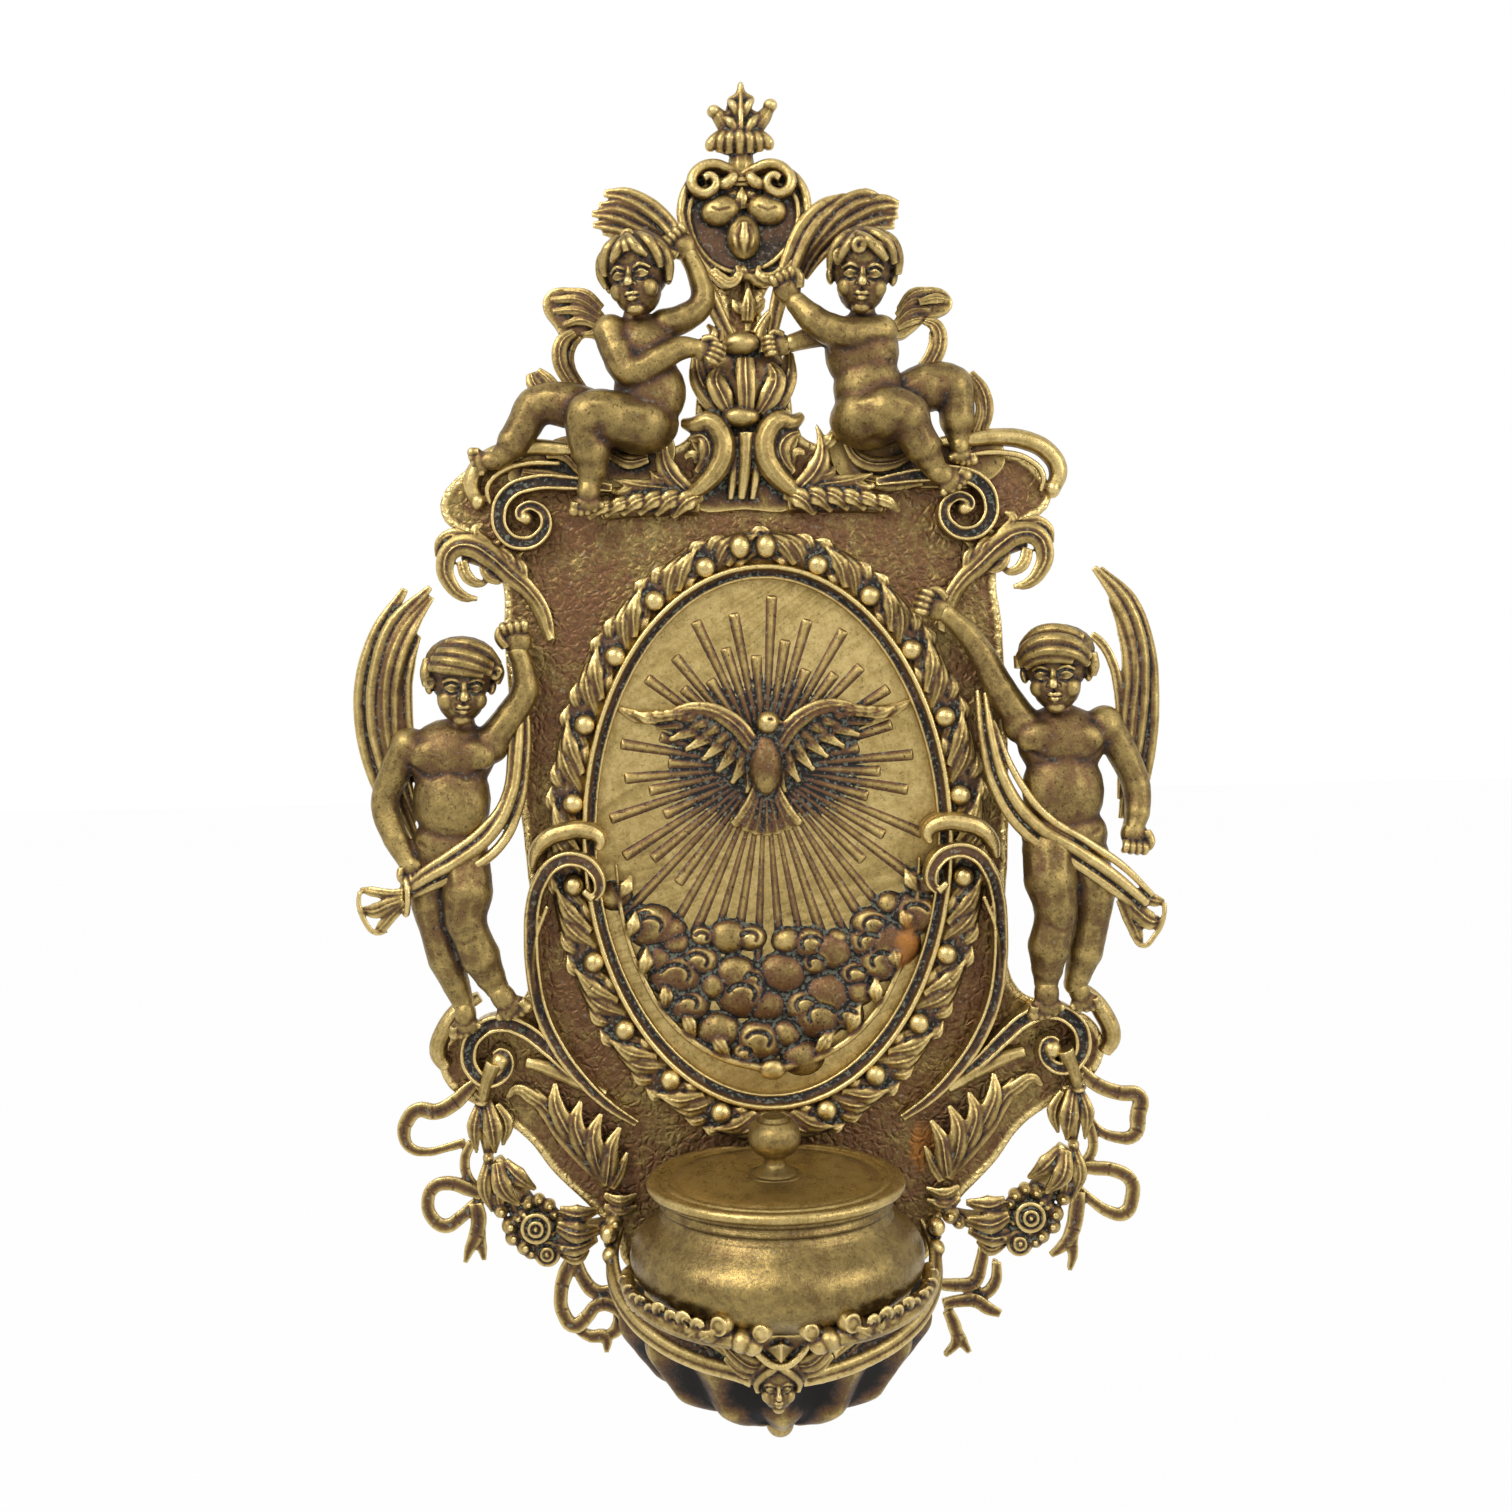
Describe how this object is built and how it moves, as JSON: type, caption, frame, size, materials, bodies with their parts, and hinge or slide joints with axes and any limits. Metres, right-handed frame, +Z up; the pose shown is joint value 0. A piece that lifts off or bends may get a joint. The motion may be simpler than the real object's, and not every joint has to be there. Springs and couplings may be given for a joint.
{
  "type": "holy water stoup",
  "caption": "Wall-hung baroque stoup: pierced relief back plate with children, palms and an oval leaf wreath, above an oval bowl on a scrolled bracket with a knobbed lift-off lid.",
  "frame": {"origin": "on the wall, at the rear face of the plaque backing behind the centre of the oval", "axes": "+Z up, +X to the viewer's right, -Y away from the wall towards the viewer"},
  "size_m": [0.2004, 0.0642, 0.3268],
  "materials": {
    "plain_brass": "cast brass, worn bright on the high parts and dark in the hollows",
    "backing_brass": "cast brass, worn bright on the high parts and dark in the hollows",
    "turned_brass": "cast brass, worn bright on the high parts and dark in the hollows",
    "dark_brass": "cast brass, worn bright on the high parts and dark in the hollows",
    "plaque_brass": "cast brass, worn bright on the high parts and dark in the hollows",
    "cast_brass": "cast brass, worn bright on the high parts and dark in the hollows"
  },
  "bodies": {
    "stoup": {"apron_sprig_left": "cast_brass", "apron_sprig_right": "cast_brass", "back_plate": "dark_brass", "bowl": "turned_brass", "bowl_stud": "plain_brass", "bracket_ribbon_left": "cast_brass", "bracket_ribbon_right": "cast_brass", "bracket_strap_left": "cast_brass", "bracket_strap_right": "cast_brass", "cartouche_scroll_left": "cast_brass", "cartouche_scroll_right": "cast_brass", "crest_calyx": "cast_brass", "crest_finial": "cast_brass", "crest_palm_left": "cast_brass", "crest_palm_right": "cast_brass", "crest_putto_left": "cast_brass", "crest_putto_right": "cast_brass", "crest_shield": "cast_brass", "drop_shell": "dark_brass", "eye_rivets": "plain_brass", "garland_left": "cast_brass", "garland_right": "cast_brass", "hanging_eye": "plain_brass", "leaf_rim_left": "cast_brass", "leaf_rim_right": "cast_brass", "leaf_wreath": "cast_brass", "lower_volute_left": "cast_brass", "lower_volute_right": "cast_brass", "mask_head": "cast_brass", "oval_moulding": "cast_brass", "pediment_leaf_left": "cast_brass", "pediment_leaf_right": "cast_brass", "pediment_ledge_left": "cast_brass", "pediment_ledge_right": "cast_brass", "pediment_scroll_left": "cast_brass", "pediment_scroll_right": "cast_brass", "plaque_backing": "backing_brass", "plaque_rivets": "plain_brass", "relief_plaque": "plaque_brass", "ribbon_left": "cast_brass", "ribbon_right": "cast_brass", "sash_left": "cast_brass", "sash_right": "cast_brass", "shell_collar": "cast_brass", "side_acanthus_left": "cast_brass", "side_acanthus_right": "cast_brass", "side_palm_left": "cast_brass", "side_palm_right": "cast_brass", "side_putto_left": "cast_brass", "side_putto_right": "cast_brass"},
    "lid": {"lid": "turned_brass", "lid_knob": "turned_brass"}
  },
  "joints": [
    {"name": "lid_lift", "type": "slide", "parent": "stoup", "child": "lid", "axis": [0, 0, 1], "range_m": [0, 0.03]}
  ]
}
